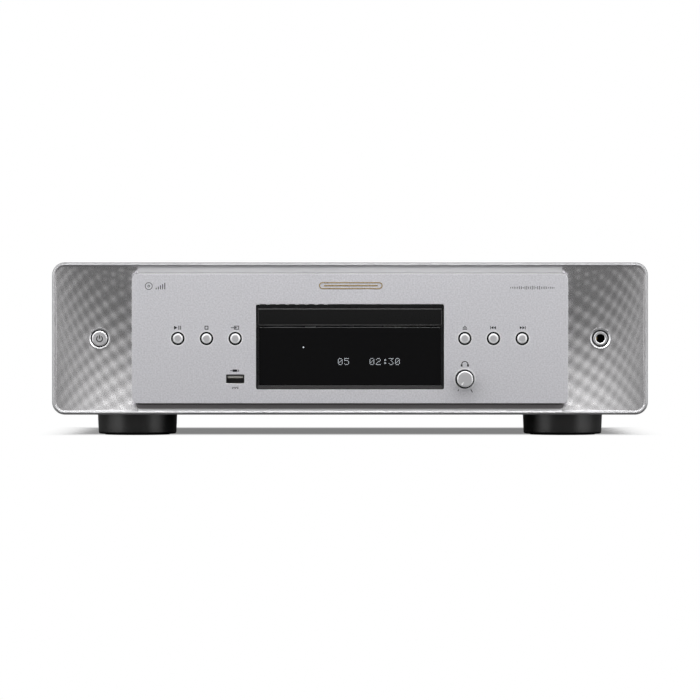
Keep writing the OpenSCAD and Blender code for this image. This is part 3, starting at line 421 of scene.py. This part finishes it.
def softened(name, node, width, segments=3, edge=None, shade_behind=None, shade_rings=()):
    """A copy of a CAD node with its hard edges rounded, which stands for the node.

    edge is the finish of the rounded edges and chamfers on the front, mostly a paler one that paints a
    highlight there. What lies behind shade_behind, and what does not face forwards, is painted black as
    shade, and so are the rims of the round holes in shade_rings (x, z, radius).
    """
    source = NODES[node]
    bm = bmesh.new()
    bm.from_mesh(source.data)
    bmesh.ops.remove_doubles(bm, verts=bm.verts, dist=2e-6)
    bmesh.ops.dissolve_limit(bm, angle_limit=math.radians(0.6), verts=bm.verts, edges=bm.edges)
    hard = [e for e in bm.edges if len(e.link_faces) == 2 and e.calc_face_angle(0) > math.radians(35)]
    bmesh.ops.bevel(bm, geom=hard, offset=width, segments=segments, profile=0.5, affect="EDGES",
                    clamp_overlap=True, loop_slide=True)
    bmesh.ops.recalc_face_normals(bm, faces=bm.faces)
    front = min(v.co.y for v in bm.verts)
    mesh = mesh_from(name, bm)
    slot = SLOT_OF[node]
    obj = add_piece(name, mesh, MATERIAL[slot], source["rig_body"], 40)
    mesh.materials.append(MATERIAL[edge or slot])
    mesh.materials.append(MATERIAL["shade_and_sleeve_black"])
    steepest = -0.2 if shade_behind is None else -0.45
    for face in mesh.polygons:
        if edge and -0.97 < face.normal.y < steepest and face.center.y < front + 1.6 * MM:
            face.material_index = 1
        if shade_behind is not None and face.normal.y > steepest:
            face.material_index = 2
        if shade_behind is not None and face.center.y > shade_behind:
            face.material_index = 2
        if any(math.hypot(face.center.x - x, face.center.z - z) < r for x, z, r in shade_rings):
            face.material_index = 2
    weighted = obj.modifiers.new("weighted", "WEIGHTED_NORMAL")
    weighted.keep_sharp = True
    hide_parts(node)
    return obj


def joined(bm, a, b):
    """Faces between two closed rings of points."""
    for i in range(len(a)):
        j = (i + 1) % len(a)
        bm.faces.new((a[i], a[j], b[j], b[i]))


def prism(bm, outline, y_front, y_back):
    """Adds a closed prism whose outline lies in X and Z."""
    front = [bm.verts.new((x, y_front, z)) for x, z in outline]
    back = [bm.verts.new((x, y_back, z)) for x, z in outline]
    bm.faces.new(front)
    bm.faces.new(back[::-1])
    joined(bm, front, back)


def band(bm, outer, inner, y_front, y_back):
    """Adds a closed ring between two outlines with the same number of points."""
    rings = [[bm.verts.new((x, y, z)) for x, z in line]
             for line, y in ((outer, y_front), (outer, y_back), (inner, y_back), (inner, y_front))]
    for a, b in zip(rings, rings[1:] + rings[:1]):
        joined(bm, a, b)


def circle(cx, cz, r, count=40, start=0.0, sweep=360.0):
    steps = count if sweep >= 360 else count - 1
    return [(cx + r * math.cos(math.radians(start + sweep * i / steps)),
             cz + r * math.sin(math.radians(start + sweep * i / steps))) for i in range(count)]


def arc_strip(cx, cz, r, w, start, sweep, count=24):
    outer = circle(cx, cz, r + w / 2, count, start, sweep)
    inner = circle(cx, cz, r - w / 2, count, start, sweep)
    return outer + inner[::-1]


def box_line(x0, z0, x1, z1):
    return [(x0, z0), (x1, z0), (x1, z1), (x0, z1)]


# ---------- wing panels with their woven relief ----------

def make_wing(side):
    """One dished panel. Two crossing families of shallow ridges, closer towards the edge, make the weave."""
    x_in, x_out = 157.6 * MM, WING_HIGH.x
    half_h = (WING_HIGH.z - WING_LOW.z) / 2
    bed_y = PLATE_HIGH.y
    depth = 8 * MM
    thick = 1.2 * MM
    corner = 7.4 * MM
    columns, rows = 92, 150
    wing_x, seat_r = abs(POWER.x), 7.96 * MM
    # the ridges: how fast their count grows inwards, how far in from the edge their pitch has doubled,
    # and how many there are per mm upwards
    ridge_growth, doubling_mm, ridges_up = 3.98, 28.5, 0.082
    flat_edge_mm, full_weave_mm = 5, 35

    def edge_x(z):
        """The outer edge, rounded at its two corners."""
        over = abs(z - MID_Z) - (half_h - corner)
        return x_out - (corner - math.sqrt(max(0, corner ** 2 - over ** 2)) if over > 0 else 0)

    def level(x, z):
        s = min(1, max(0, (x_out - x) / (x_out - x_in)))
        u = (z - MID_Z) / half_h
        bowl = depth * (1 - (1 - s) ** 2) * (1 - u * u)
        d = (x_out - x) / MM
        u_wave = ridge_growth * math.log((d + doubling_mm) / doubling_mm)
        v_wave = ridges_up * (z - MID_Z) / MM
        inner = min(1, d / full_weave_mm)
        weave = (0.6 + 0.4 * inner) * math.cos(2 * math.pi * (u_wave - v_wave))
        weave += (0.15 + 0.6 * inner) * math.cos(2 * math.pi * (2 * u_wave + v_wave))
        rim = min(1, d / flat_edge_mm) * min(1, (half_h - abs(z - MID_Z)) / MM / flat_edge_mm)
        height = 0.12 + 0.09 * max(0, z - MID_Z) / half_h
        return bed_y + bowl + height * MM * weave * max(0, rim)

    bm = bmesh.new()
    grid = []
    for i in range(columns + 1):
        line = []
        for j in range(rows + 1):
            z = MID_Z + half_h * (2 * j / rows - 1)
            x = x_in + (edge_x(z) - x_in) * i / columns
            line.append(bm.verts.new((x, level(x, z), z)))
        grid.append(line)
    back = [[bm.verts.new((v.co.x, v.co.y + thick, v.co.z)) for v in line] for line in grid]
    for i in range(columns):
        for j in range(rows):
            bm.faces.new((grid[i][j], grid[i + 1][j], grid[i + 1][j + 1], grid[i][j + 1]))
            bm.faces.new((back[i][j], back[i][j + 1], back[i + 1][j + 1], back[i + 1][j]))
    loop = ([(i, 0) for i in range(columns)] + [(columns, j) for j in range(rows)]
            + [(i, rows) for i in range(columns, 0, -1)] + [(0, j) for j in range(rows, 0, -1)])
    for a, b in zip(loop, loop[1:] + loop[:1]):
        bm.faces.new((grid[a[0]][a[1]], back[a[0]][a[1]], back[b[0]][b[1]], grid[b[0]][b[1]]))
    for v in bm.verts:
        v.co.x *= side
    mesh = mesh_from(f"wing_{side}", bm)
    name = "wing_panel_right" if side > 0 else "wing_panel_left"
    obj = add_piece(name, mesh, MATERIAL["wing_silver"], "root", 50)
    # the hole for the control, cut with a round tool and closed again
    cutter_bm = bmesh.new()
    bmesh.ops.create_cone(cutter_bm, cap_ends=True, segments=96, radius1=seat_r, radius2=seat_r, depth=0.05)
    for v in cutter_bm.verts:
        v.co = Vector((side * wing_x + v.co.x, PLATE_Y + v.co.z, MID_Z + v.co.y))
    cutter_mesh = mesh_from("cutter", cutter_bm)
    cutter = bpy.data.objects.new("cutter", cutter_mesh)
    bpy.context.scene.collection.objects.link(cutter)
    cut = obj.modifiers.new("cut", "BOOLEAN")
    cut.operation = "DIFFERENCE"
    cut.object = cutter
    cut.solver = "EXACT"
    bpy.context.view_layer.update()
    done = bpy.data.meshes.new_from_object(obj.evaluated_get(bpy.context.evaluated_depsgraph_get()))
    obj.modifiers.clear()
    obj.data = done
    bpy.data.objects.remove(cutter)
    # the collar that the trim ring is pushed into
    collar = bmesh.new()
    outer = circle(side * wing_x, MID_Z, seat_r + 0.3 * MM, 96)
    inner = circle(side * wing_x, MID_Z, 6.95 * MM, 96)
    ring_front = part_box("jack_ring" if side > 0 else "power_ring")[0].y
    band(collar, outer, inner, ring_front + 1.0 * MM, bed_y + 11 * MM)
    collar_name = "jack_collar" if side > 0 else "power_collar"
    add_piece(collar_name, mesh_from(collar_name, collar), MATERIAL["wing_silver"], "root")
    return obj


# ---------- printed symbols, badge and readout ----------

PRINT_T = 0.05 * MM


def print_on(name, shapes, y, body="root", material=None, proud=PRINT_T):
    """Thin closed shapes on a front face at y. A shape is an outline, or an outer and an inner one."""
    bm = bmesh.new()
    for shape in shapes:
        if isinstance(shape[0][0], tuple):
            band(bm, shape[0], shape[1], y - proud, y + 0.1 * MM)
        else:
            prism(bm, shape, y - proud, y + 0.1 * MM)
    mesh = mesh_from(name, bm)
    return add_piece(name, mesh, material or PRINT, body)


def scaled(shape, x, z):
    """Shape points in millimetres, moved to x, z in metres."""
    if isinstance(shape[0][0], tuple):
        return tuple(scaled(part, x, z) for part in shape)
    return [(x + px * MM, z + pz * MM) for px, pz in shape]


def framed(w, h, t, cx=0.0, cz=0.0):
    """A rectangle's outline, t thick."""
    outer = box_line(cx - w / 2, cz - h / 2, cx + w / 2, cz + h / 2)
    inner = box_line(cx - w / 2 + t, cz - h / 2 + t, cx + w / 2 - t, cz + h / 2 - t)
    return (outer, inner)


def triangle(x0, x1, h):
    """A triangle with its point at x1."""
    return [(x0, -h / 2), (x1, 0), (x0, h / 2)]


SYMBOLS = {
    "play": [triangle(-2.8, -0.3, 3.0), box_line(0.5, -1.4, 1.1, 1.4), box_line(1.8, -1.4, 2.4, 1.4)],
    "stop": [framed(2.8, 2.8, 0.6)],
    "input": [framed(3.6, 2.8, 0.45, 1.0), box_line(-3.2, -0.25, 0.2, 0.25), triangle(0.0, 1.3, 1.7)],
    "eject": [([(-1.7, -0.4), (1.7, -0.4), (0, 1.6)], [(-0.9, 0.0), (0.9, 0.0), (0, 1.0)]),
              box_line(-1.7, -1.4, 1.7, -0.9)],
    "previous": [triangle(-0.1, -1.9, 2.4), triangle(1.8, 0.0, 2.4), box_line(-2.5, -1.2, -2.0, 1.2)],
    "next": [triangle(-1.8, 0.0, 2.4), triangle(0.1, 1.9, 2.4), box_line(2.0, -1.2, 2.5, 1.2)],
}


def make_symbols():
    for name in BUTTONS:
        place = centre(f"button_{name}")
        shapes = [scaled(s, place.x, place.z + 8.0 * MM) for s in SYMBOLS[name]]
        print_on(f"symbol_{name}", shapes, PLATE_Y)
    # a plug above the USB socket, and the direct-current sign below it
    plug = [box_line(-1.9, -0.9, 1.1, 0.9), framed(1.8, 1.3, 0.4, 2.0), box_line(-3.7, -0.25, -1.9, 0.25)]
    print_on("symbol_usb", [scaled(s, USB.x, USB.z + 6.2 * MM) for s in plug], PLATE_Y)
    current = [box_line(-2.4, 0.3, 2.4, 0.75)]
    current += [box_line(x, -0.7, x + 1.1, -0.25) for x in (-2.4, -0.55, 1.3)]
    print_on("symbol_current", [scaled(s, USB.x, USB.z - 6.6 * MM) for s in current], PLATE_Y)
    # headphones above the level knob, and the two ends of its turn
    phones = [arc_strip(0, -0.6, 2.3, 0.6, 0, 180)]
    phones += [box_line(x, -2.1, x + 1.3, -0.4) for x in (-3.0, 1.7)]
    print_on("symbol_phones", [scaled(s, KNOB.x, KNOB.z + 11.3 * MM) for s in phones], PLATE_Y)
    for name, angle, last in (("level_low_mark", 240, 10.2), ("level_high_mark", 300, 11.4)):
        x, z = math.cos(math.radians(angle)), math.sin(math.radians(angle))
        corners = ((8.9, -0.28), (last, -0.28), (last, 0.28), (8.9, 0.28))
        tick = [(r * x - w * z, r * z + w * x) for r, w in corners]
        print_on(name, [scaled(tick, KNOB.x, KNOB.z)], PLATE_Y)
    # a disc at the top left, and a row of level bars at the top right
    disc = [(circle(0, 0, 2.8, 48), circle(0, 0, 2.35, 48)), (circle(0, 0, 0.95, 24), circle(0, 0, 0.5, 24))]
    disc += [box_line(5.2 + 1.6 * i, -2.4, 5.8 + 1.6 * i, -1.2 + 0.9 * i) for i in range(5)]
    print_on("symbol_disc", [scaled(s, -149.0 * MM, MID_Z + 38.8 * MM) for s in disc], PLATE_Y)
    bars = []
    count, pitch, width = 25, 1.34, 0.45
    for i in range(count):
        high = 0.5 + 0.9 * abs(math.sin(0.9 * i)) * math.sin(math.pi * (i + 0.5) / count)
        bars.append(box_line(pitch * i, -high, pitch * i + width, high))
    print_on("level_bars", [scaled(s, 118.6 * MM, MID_Z + 37.6 * MM) for s in bars], PLATE_Y)


def pill(w, h, count=16):
    r = h / 2
    return circle(w / 2 - r, 0, r, count, -90, 180) + circle(-w / 2 + r, 0, r, count, 90, 180)


def make_badge():
    z = MID_Z + 39.2 * MM
    bar = [(pill(47, 5.0), pill(45.6, 3.6)), pill(40, 0.9)]
    print_on("badge", [scaled(s, 0.6 * MM, z) for s in bar], PLATE_Y, material=GOLD,
             proud=0.25 * MM)


DIGITS = {
    "0": ("01110", "10001", "10011", "10101", "11001", "10001", "01110"),
    "2": ("01110", "10001", "00001", "00110", "01000", "10000", "11111"),
    "3": ("11111", "00010", "00100", "00010", "00001", "10001", "01110"),
    "5": ("11111", "10000", "11110", "00001", "00001", "10001", "01110"),
    ":": ("00000", "00110", "00110", "00000", "00110", "00110", "00000"),
}


def make_readout():
    """The track and the time in dot-matrix numbers, and the standby lamp."""
    pitch_x, pitch_z, dot, sign_pitch = 0.72, 0.75, 0.42, 4.73
    top = 57.9
    shapes = []
    for text, start in (("05", -8.9), ("02:30", 14.6)):
        for k, sign in enumerate(text):
            left = start + k * sign_pitch
            for row, line in enumerate(DIGITS[sign]):
                for column, on in enumerate(line):
                    if on == "1":
                        x, z = left + column * pitch_x, top - row * pitch_z
                        shapes.append(scaled(box_line(x, z - dot, x + dot, z), 0, 0))
    print_on("readout", shapes, LENS_LOW.y, material=LIT, proud=0.03 * MM)
    print_on("lamp", [scaled(circle(-34.5, 66, 0.55, 20), 0, 0)], LENS_LOW.y, material=LIT,
             proud=0.03 * MM)


def make_power_sign():
    shapes = [arc_strip(0, -0.2, 2.2, 0.7, 125, 290), box_line(-0.35, -0.2, 0.35, 2.6)]
    print_on("power_sign", [scaled(s, POWER.x, POWER.z) for s in shapes], POWER_FRONT, body="power_button")


def make_knob_line():
    """The pointer, a pale line let into the knob's face near its edge."""
    shape = [(-0.45, -5.1), (0.45, -5.1), (0.45, -2.5), (-0.45, -2.5)]
    cos, sin = math.cos(math.radians(-30)), math.sin(math.radians(-30))
    line = [(x * cos - z * sin, x * sin + z * cos) for x, z in shape]
    print_on("knob_line", [scaled(line, KNOB.x, KNOB.z)], KNOB_FRONT + 0.05 * MM, body="level_knob",
             material=POINTER)


def make_gap_shades():
    """Black sleeves of painted shade that line the round holes in the plate, each with a floor around its
    button or knob.
    """
    holes = [(f"{name}_well", centre(f"button_{name}"), 4.65 * MM, 3.75 * MM) for name in BUTTONS]
    holes.append(("knob_gap_shade", KNOB, 6.85 * MM, 6.15 * MM))
    for name, place, hole_r, inner_r in holes:
        bm = bmesh.new()
        radii = (hole_r + 0.1 * MM, hole_r - 0.12 * MM, inner_r)
        wide, narrow, bottom = (circle(place.x, place.z, r, 72) for r in radii)
        band(bm, wide, narrow, PLATE_Y + 0.55 * MM, PLATE_HIGH.y - 0.2 * MM)
        band(bm, wide, bottom, PLATE_HIGH.y - 0.75 * MM, PLATE_HIGH.y - 0.15 * MM)
        add_piece(name, mesh_from(name, bm), MATERIAL["shade_and_sleeve_black"], "root")


def turned(bm, cx, cz, profile, count=96):
    """Adds a closed ring, turned about a line through cx, cz. The profile is (radius, y) points."""
    rings = []
    for r, y in profile:
        rings.append([bm.verts.new((x, y, z)) for x, z in circle(cx, cz, r, count)])
    for a, b in zip(rings, rings[1:] + rings[:1]):
        joined(bm, a, b)


def make_jack_parts():
    """The socket's bright nut, its black sleeve and end, and one spring contact."""
    jack = centre("phones_jack")
    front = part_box("phones_jack")[0].y
    nut = [(3.30, 0.6), (3.36, -0.05), (3.8, -0.35), (4.8, -0.35), (5.2, 0.0), (5.2, 0.6)]
    sleeve = [(3.18, 0.25), (3.4, 0.25), (3.4, 29.0), (3.18, 29.0)]
    end = [(0.2, 28.4), (3.3, 28.4), (3.3, 29.2), (0.2, 29.2)]
    for name, profile, finish, slot in (("jack_nut", nut, "bright_metal_and_highlight", "ring_silver"),
                                        ("jack_sleeve", sleeve, "shade_and_sleeve_black", "black_plastic"),
                                        ("jack_end", end, "shade_and_sleeve_black", "black_plastic")):
        bm = bmesh.new()
        turned(bm, jack.x, jack.z, [(r * MM, front + y * MM) for r, y in profile])
        add_piece(name, mesh_from(name, bm), MATERIAL[finish], "root")
    bm = bmesh.new()
    leaf = [(x * MM + jack.x, z * MM + jack.z) for x, z in box_line(-3.1, -0.8, -2.5, 0.8)]
    prism(bm, leaf, front + 1.2 * MM, front + 9 * MM)
    add_piece("jack_contact", mesh_from("jack_contact", bm), MATERIAL["socket_gold"], "root")


def make_power_well():
    """Black painted shade in the gap between the power button and its trim ring."""
    bm = bmesh.new()
    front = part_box("power_ring")[0].y
    profile = [(5.9, 0.45), (6.55, 0.45), (6.55, 1.5), (5.9, 1.5)]
    turned(bm, POWER.x, POWER.z, [(r * MM, front + y * MM) for r, y in profile])
    add_piece("power_gap_shade", mesh_from("power_gap_shade", bm), MATERIAL["shade_and_sleeve_black"], "root")


def make_knob_face():
    """The flat front of the knob, which leaves a narrow chamfer with its painted highlight round it."""
    profile = [(4.4, 0.008), (5.15, 0.008), (5.25, 0.08), (5.25, 1.2), (4.4, 1.2)]
    bm = bmesh.new()
    turned(bm, KNOB.x, KNOB.z, [(r * MM, KNOB_FRONT + y * MM) for r, y in profile])
    add_piece("knob_face", mesh_from("knob_face", bm), MATERIAL["knob_silver"], "level_knob")


def make_hole_highlights():
    """A fine line of painted highlight round each hole in the plate."""
    places = [(f"{name}_rim", centre(f"button_{name}"), 5.15) for name in BUTTONS]
    places.append(("knob_rim", KNOB, 7.7))
    width = 0.45
    for name, place, r in places:
        bm = bmesh.new()
        outer, inner = (circle(place.x, place.z, radius * MM, 96) for radius in (r + width, r))
        band(bm, outer, inner, PLATE_Y - 0.04 * MM, PLATE_Y + 0.2 * MM)
        add_piece(name, mesh_from(name, bm), MATERIAL["white_edge_highlight"], "root")


def rounded(half_w, half_h, r, inset, y, steps=10):
    """Points of a rounded rectangle round the panel's middle, moved inwards by inset."""
    a, b, k = half_w - inset, half_h - inset, r - inset
    points = []
    for sx, sz, start in ((1, 1, 0), (-1, 1, 90), (-1, -1, 180), (1, -1, 270)):
        for i in range(steps + 1):
            turn = math.radians(start + 90 * i / steps)
            points.append((sx * (a - k) + k * math.cos(turn), y, MID_Z + sz * (b - k) + k * math.sin(turn)))
    return points


def along_x(name, half, points, finish):
    """A strip with the same section, given as (y, z) points, from -half to half."""
    bm = bmesh.new()
    ends = [[bm.verts.new((x, y, z)) for y, z in points] for x in (-half, half)]
    bm.faces.new(ends[0])
    bm.faces.new(ends[1][::-1])
    joined(bm, *ends)
    add_piece(name, mesh_from(name, bm), MATERIAL[finish], "root", 40)


def make_rim_fillet():
    """The fillet inside the frame's rim, in painted shade, with a painted highlight where it faces up."""
    bed_y, rim_y = PLATE_HIGH.y, FRAME_LOW.y
    half_w, half_h = WING_HIGH.x, (WING_HIGH.z - WING_LOW.z) / 2
    bm = bmesh.new()
    profile = [(-0.5, rim_y - 0.03 * MM), (0.0, rim_y + 0.15 * MM), (0.4, rim_y + 0.8 * MM),
               (0.9, bed_y), (1.6, bed_y + 0.45 * MM), (1.6, bed_y + 1.0 * MM),
               (-0.1, bed_y + 1.0 * MM), (-0.5, rim_y + 0.5 * MM)]
    rings = [[bm.verts.new((x, y, min(z, MID_Z + half_h - 0.05 * MM)))
              for x, y, z in rounded(half_w, half_h, 7.5 * MM, inset * MM, y)] for inset, y in profile]
    for a, b in zip(rings, rings[1:] + rings[:1]):
        joined(bm, a, b)
    mesh = mesh_from("rim_fillet", bm)
    fillet = add_piece("rim_fillet", mesh, MATERIAL["rim_shade"], "root", 40)
    fillet.data.materials.append(MATERIAL["rim_light"])
    # faces that look up take the painted highlight, the rest the painted shade
    for face in fillet.data.polygons:
        face.material_index = 1 if face.normal.z > 0.3 else 0


def make_coves():
    """A cove below the plate with a painted highlight, a strip of painted shadow and a black line of painted
    contact shadow under the plate, and a line of painted shade above it.
    """
    bed_y, rim_y = PLATE_HIGH.y, FRAME_LOW.y
    half = 157 * MM
    foot, under, lid = WING_LOW.z, PLATE_LOW.z, PLATE_HIGH.z
    cove = [(rim_y - 0.04 * MM, foot - 0.5 * MM), (rim_y + 0.6 * MM, foot + 0.8 * MM),
            (rim_y + 1.0 * MM, foot + 1.7 * MM), (bed_y - 0.1 * MM, foot + 2.6 * MM),
            (bed_y + 0.6 * MM, foot + 2.6 * MM), (bed_y + 0.6 * MM, foot - 0.5 * MM)]
    # the cove's paler finish is a painted highlight, on top of the light its upward slope catches
    along_x("bottom_cove", half, cove, "cove_highlight_silver")
    # a dark strip of painted shadow on the bed below the plate
    bm = bmesh.new()
    low, high, r, side = foot + 2.3 * MM, under + 1 * MM, 3 * MM, half + 1.5 * MM
    arc = [math.radians(-90 + 15 * i) for i in range(7)]
    line = [(side - r + r * math.cos(t), low + r + r * math.sin(t)) for t in arc]
    outline = [(-x, z) for x, z in line[::-1]] + line + [(side, high), (-side, high)]
    prism(bm, outline, bed_y - 0.35 * MM, bed_y + 0.3 * MM)
    mesh = mesh_from("plate_shadow_strip", bm)
    add_piece("plate_shadow_strip", mesh, MATERIAL["plate_shadow_grey"], "root")
    # a black line of painted contact shadow right under the plate
    contact_shadow_line = [(bed_y - 0.6 * MM, high), (bed_y - 0.6 * MM, under - 0.7 * MM), (bed_y, under - 1.0 * MM),
              (bed_y, high)]
    along_x("plate_contact_shadow", half, contact_shadow_line, "shade_and_sleeve_black")
    # a line of painted shade along the plate's top edge
    top_shade_line = [(bed_y - 0.5 * MM, lid - 1 * MM), (bed_y - 0.5 * MM, lid + 0.8 * MM), (bed_y, lid + 1.1 * MM),
             (bed_y, lid - 1 * MM)]
    along_x("plate_top_shade", half, top_shade_line, "rim_shade")


def make_window_sill():
    """The lower lip of the window, which slopes back to the lens."""
    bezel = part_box("window_bezel")[0]
    low, high, back = bezel.z + 0.3 * MM, LENS_LOW.z - 0.2 * MM, bezel.y + 0.5 * MM
    sill = [(bezel.y - 0.6 * MM, low), (bezel.y - 0.04 * MM, high), (back, high), (back, low)]
    along_x("window_sill", LENS_HIGH.x + 1.2 * MM, sill, "sill_grey")


def make_usb_contacts():
    """The four gold strips under the tongue."""
    low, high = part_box("usb_tongue")
    bm = bmesh.new()
    for i in range(4):
        x = (low.x + high.x) / 2 + (i - 1.5) * 2.5 * MM
        y0, y1 = low.y + 0.6 * MM, high.y - 1 * MM
        w, t = 0.5 * MM, 0.05 * MM
        corners = [bm.verts.new((x + sx * w, y, low.z + dz))
                   for sx in (-1, 1) for y in (y0, y1) for dz in (-t, t)]
        for quad in ((0, 1, 3, 2), (4, 6, 7, 5), (0, 4, 5, 1), (2, 3, 7, 6), (0, 2, 6, 4), (1, 5, 7, 3)):
            bm.faces.new([corners[k] for k in quad])
    mesh = mesh_from("usb_contacts", bm)
    add_piece("usb_contacts", mesh, MATERIAL["socket_gold"], "root")


def soften_front():
    """The plate, the window, the tray front, the buttons and the knob, with rounded edges."""
    holes = [(centre(f"button_{name}").x, centre(f"button_{name}").z, 5.1 * MM) for name in BUTTONS]
    holes.append((KNOB.x, KNOB.z, 7.5 * MM))
    # the plate's front edges get a painted highlight, and the rims of its holes painted black shade
    softened("plate", "centre_plate", 0.4 * MM, 2, edge="bright_metal_and_highlight", shade_rings=holes)
    # the bezel's front bevels get a painted highlight
    softened("bezel", "window_bezel", 0.35 * MM, 2, edge="black_edge_highlight")
    door = softened("door", "tray_door", 0.6 * MM, 2, edge="door_edge_highlight")
    lens = softened("lens", "display_lens", 0.4 * MM, 2, edge="black_edge_highlight")
    # only the upper edge of each pane keeps the stronger painted highlight; the door's other edges get a
    # fainter one, the lens's other edges the lens's own finish
    for pane, finish in ((door, "door_side_highlight"), (lens, "lens_smoke")):
        pane.data.materials.append(MATERIAL[finish])
        for face in pane.data.polygons:
            if face.material_index == 1 and face.normal.z < 0.2:
                face.material_index = 3
    # the caps' sides and backs are painted black as shade, and the buttons' and knob's front edges get a
    # painted highlight
    for button in BUTTONS:
        softened(f"{button}_cap", f"button_{button}", 0.1 * MM, 2, "white_edge_highlight", PLATE_Y + 1.5 * MM)
    softened("power_cap", "power_button", 0.1 * MM, 2, "knob_silver", POWER_FRONT + 2.2 * MM)
    softened("knob", "level_knob", 0.15 * MM, 2, "white_edge_highlight", PLATE_Y + 0.5 * MM)


# ---------- the whole ----------

bpy.context.scene.view_settings.view_transform = "Standard"
make_camera()
make_world()
make_floor()
make_lights()
paint_nodes()

make_wing(-1)
wing = make_wing(1)
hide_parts("wing_panels")
soften_front()
make_gap_shades()
make_power_well()
make_knob_face()
make_hole_highlights()
make_jack_parts()
make_rim_fillet()
make_coves()
make_window_sill()

make_symbols()
make_badge()
make_readout()
make_power_sign()
make_knob_line()
make_usb_contacts()
